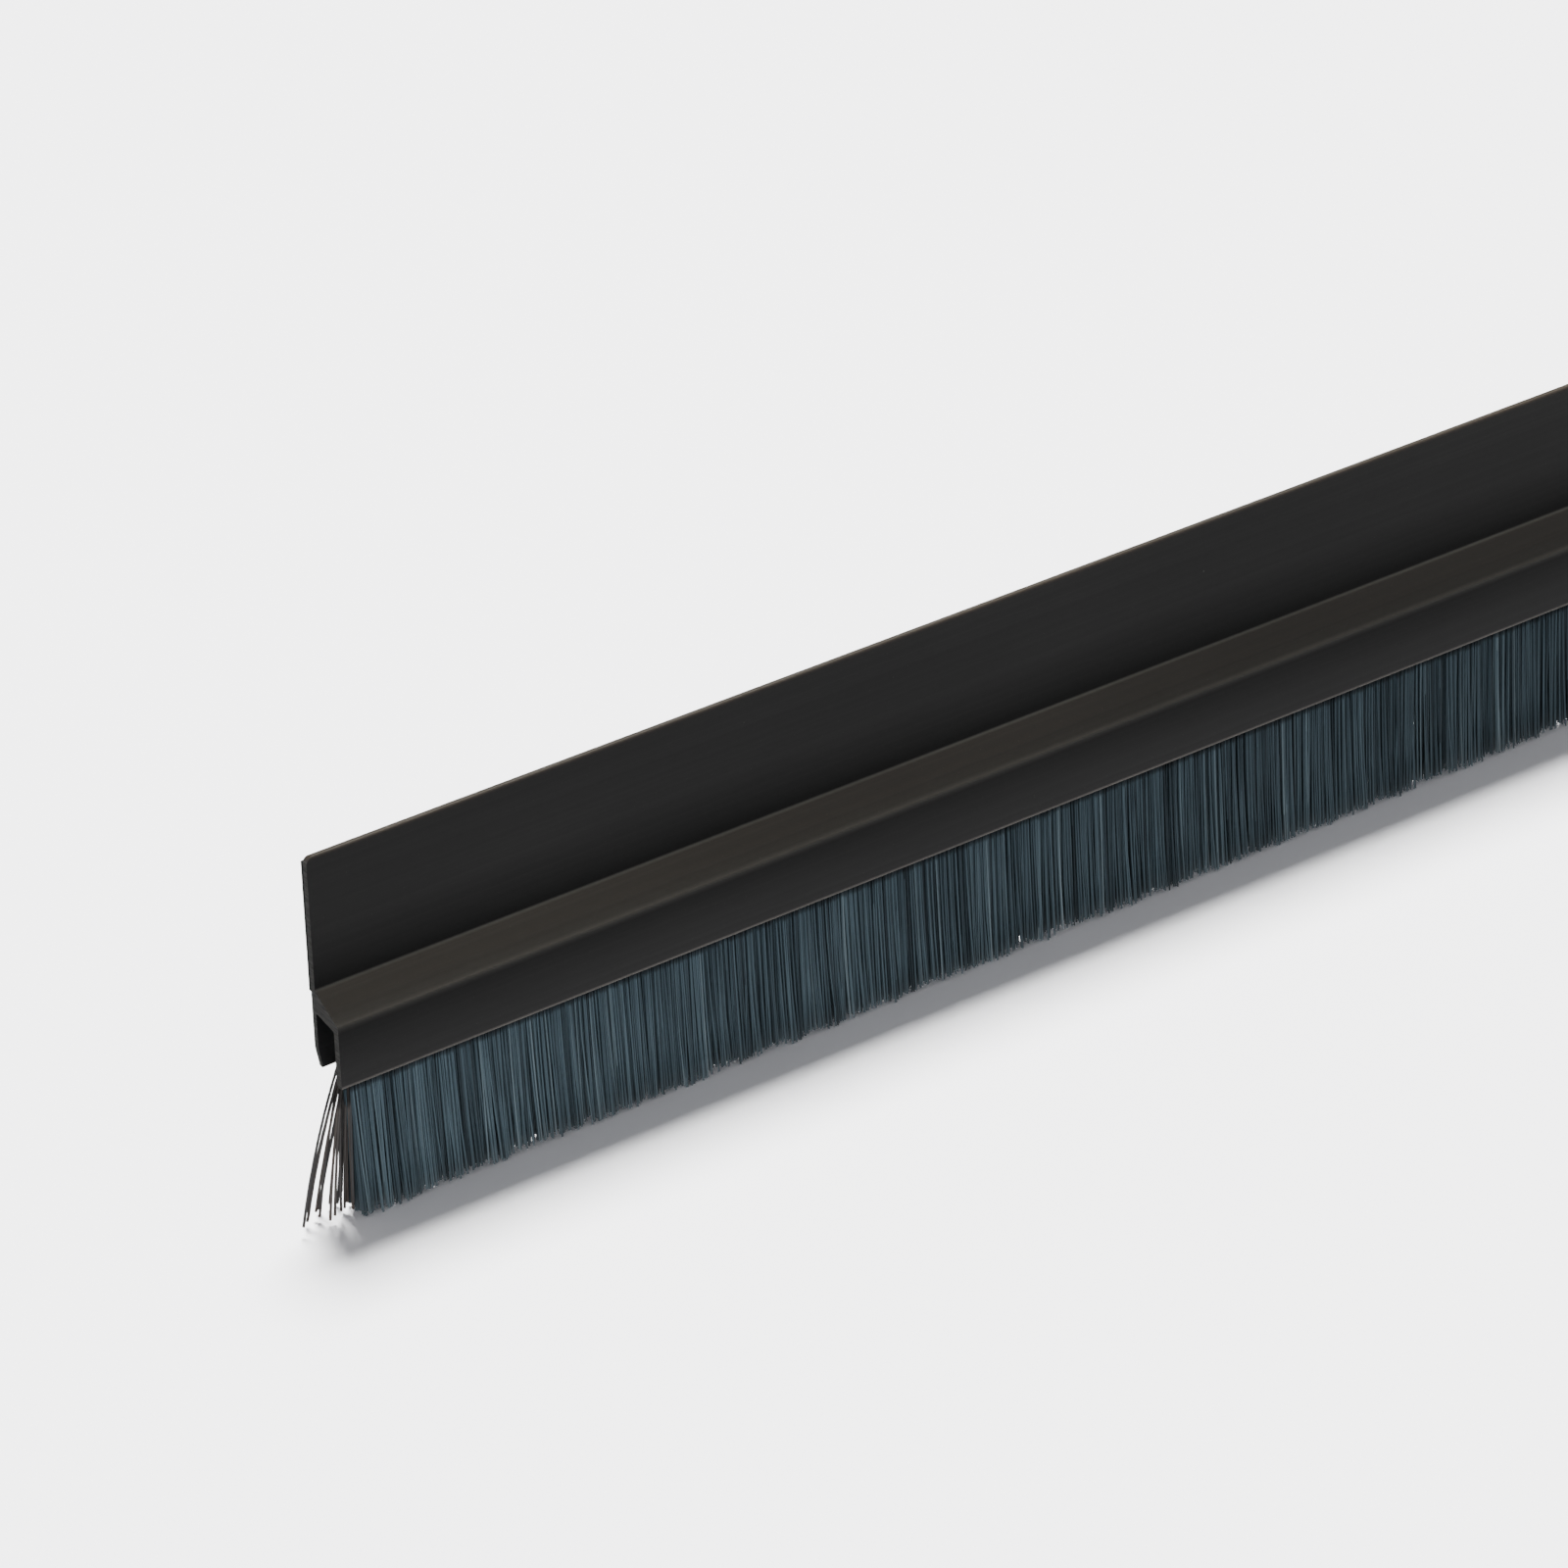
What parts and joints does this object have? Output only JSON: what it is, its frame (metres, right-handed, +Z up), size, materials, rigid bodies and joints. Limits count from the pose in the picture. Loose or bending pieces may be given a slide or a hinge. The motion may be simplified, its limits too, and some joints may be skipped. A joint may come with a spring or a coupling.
{
  "type": "brush door sweep",
  "caption": "Self-adhesive black plastic door sweep with a flat flange, a sloped shelf and a channel that holds a strip brush with slate-blue bristles.",
  "frame": {"origin": "centre of the mounting tape's back face, which sticks to the door", "axes": "+X along the strip, +Y into the door, +Z up"},
  "size_m": [0.914, 0.0072, 0.0577],
  "materials": {
    "black_plastic": "satin",
    "foam_tape": "matte",
    "galvanised_steel": "satin",
    "bristle_fibre": "satin"
  },
  "bodies": {
    "carrier": {"carrier_profile": "black_plastic", "mounting_tape": "foam_tape"},
    "brush_insert": {"brush_backing": "galvanised_steel", "core_wire": "galvanised_steel", "bristle_roots": "bristle_fibre"},
    "bristle_row": {"bristles_01": "bristle_fibre", "bristles_02": "bristle_fibre", "bristles_03": "bristle_fibre", "bristles_04": "bristle_fibre", "bristles_05": "bristle_fibre", "bristles_06": "bristle_fibre", "bristles_07": "bristle_fibre", "bristles_08": "bristle_fibre", "bristles_09": "bristle_fibre", "bristles_10": "bristle_fibre", "bristles_11": "bristle_fibre", "bristles_12": "bristle_fibre", "bristles_13": "bristle_fibre", "bristles_14": "bristle_fibre", "bristles_15": "bristle_fibre", "bristles_16": "bristle_fibre"}
  },
  "joints": [
    {"name": "insert_slide", "type": "slide", "parent": "carrier", "child": "brush_insert", "axis": [1, 0, 0], "range_m": [-0.3, 0.3]},
    {"name": "bristle_flex", "type": "hinge", "parent": "brush_insert", "child": "bristle_row", "pos_m": [0, -0.00375, -0.0246], "axis": [1, 0, 0], "range_deg": [-45, 45], "stiffness_Nm_per_rad": 0.5}
  ]
}
